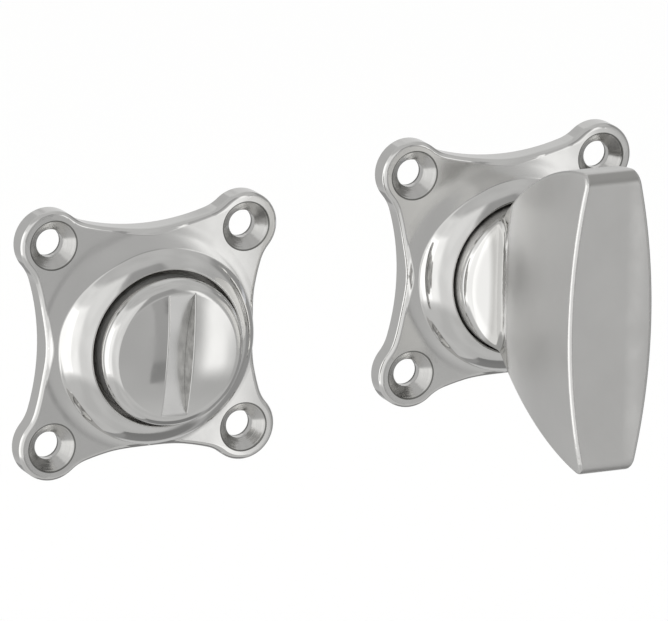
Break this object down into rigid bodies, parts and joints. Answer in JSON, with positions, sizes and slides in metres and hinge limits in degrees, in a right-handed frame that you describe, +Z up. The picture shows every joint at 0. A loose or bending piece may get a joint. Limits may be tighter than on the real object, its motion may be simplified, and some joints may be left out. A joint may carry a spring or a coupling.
{
  "type": "bathroom thumb turn lock",
  "caption": "Bathroom door lock furniture: a fan-shaped thumb turn on a small rose with round ears, and a matching rose with a domed coin release for the other side of the door.",
  "frame": {"origin": "on the axis of the thumb turn, in the plane of the backs of both roses, at the centre of the turn rose's four screw holes", "axes": "+X to the right as seen from the front, -Y forward out of the fronts of both roses, +Z up; the coin release lies to the left of the turn and a little below it, as in the picture"},
  "size_m": [0.1088, 0.0752, 0.0531],
  "materials": {
    "polished_nickel": "polished nickel plate on brass, softly reflective",
    "turn_nickel": "polished nickel plate on brass, with fine bright edges",
    "release_nickel": "polished nickel plate on brass",
    "bush_brass": "turned",
    "spring_steel": "bright spring steel",
    "circlip_steel": "phosphated spring steel",
    "zinc_steel": "zinc plated, drawn bar"
  },
  "bodies": {
    "roses": {"turn_rose": "polished_nickel", "turn_bush": "bush_brass", "turn_spring_washer": "spring_steel", "turn_thrust_washer": "zinc_steel", "release_rose": "polished_nickel", "release_bush": "bush_brass", "release_spring_washer": "spring_steel", "release_thrust_washer": "zinc_steel"},
    "turn": {"thumb_turn": "turn_nickel", "turn_circlip": "circlip_steel", "spindle": "zinc_steel"},
    "release": {"release_knob": "release_nickel", "release_circlip": "circlip_steel"}
  },
  "joints": [
    {"name": "thumb_turn_swing", "type": "hinge", "parent": "roses", "child": "turn", "pos_m": [0, 0, 0], "axis": [0, -1, 0], "range_deg": [-90, 90]},
    {"name": "release_swing", "type": "hinge", "parent": "roses", "child": "release", "pos_m": [-0.0638, 0, -0.0056], "axis": [0, -1, 0], "range_deg": [-90, 90]}
  ],
  "couplings": [
    {"joint": "release_swing", "follows": "thumb_turn_swing", "ratio": -1}
  ]
}
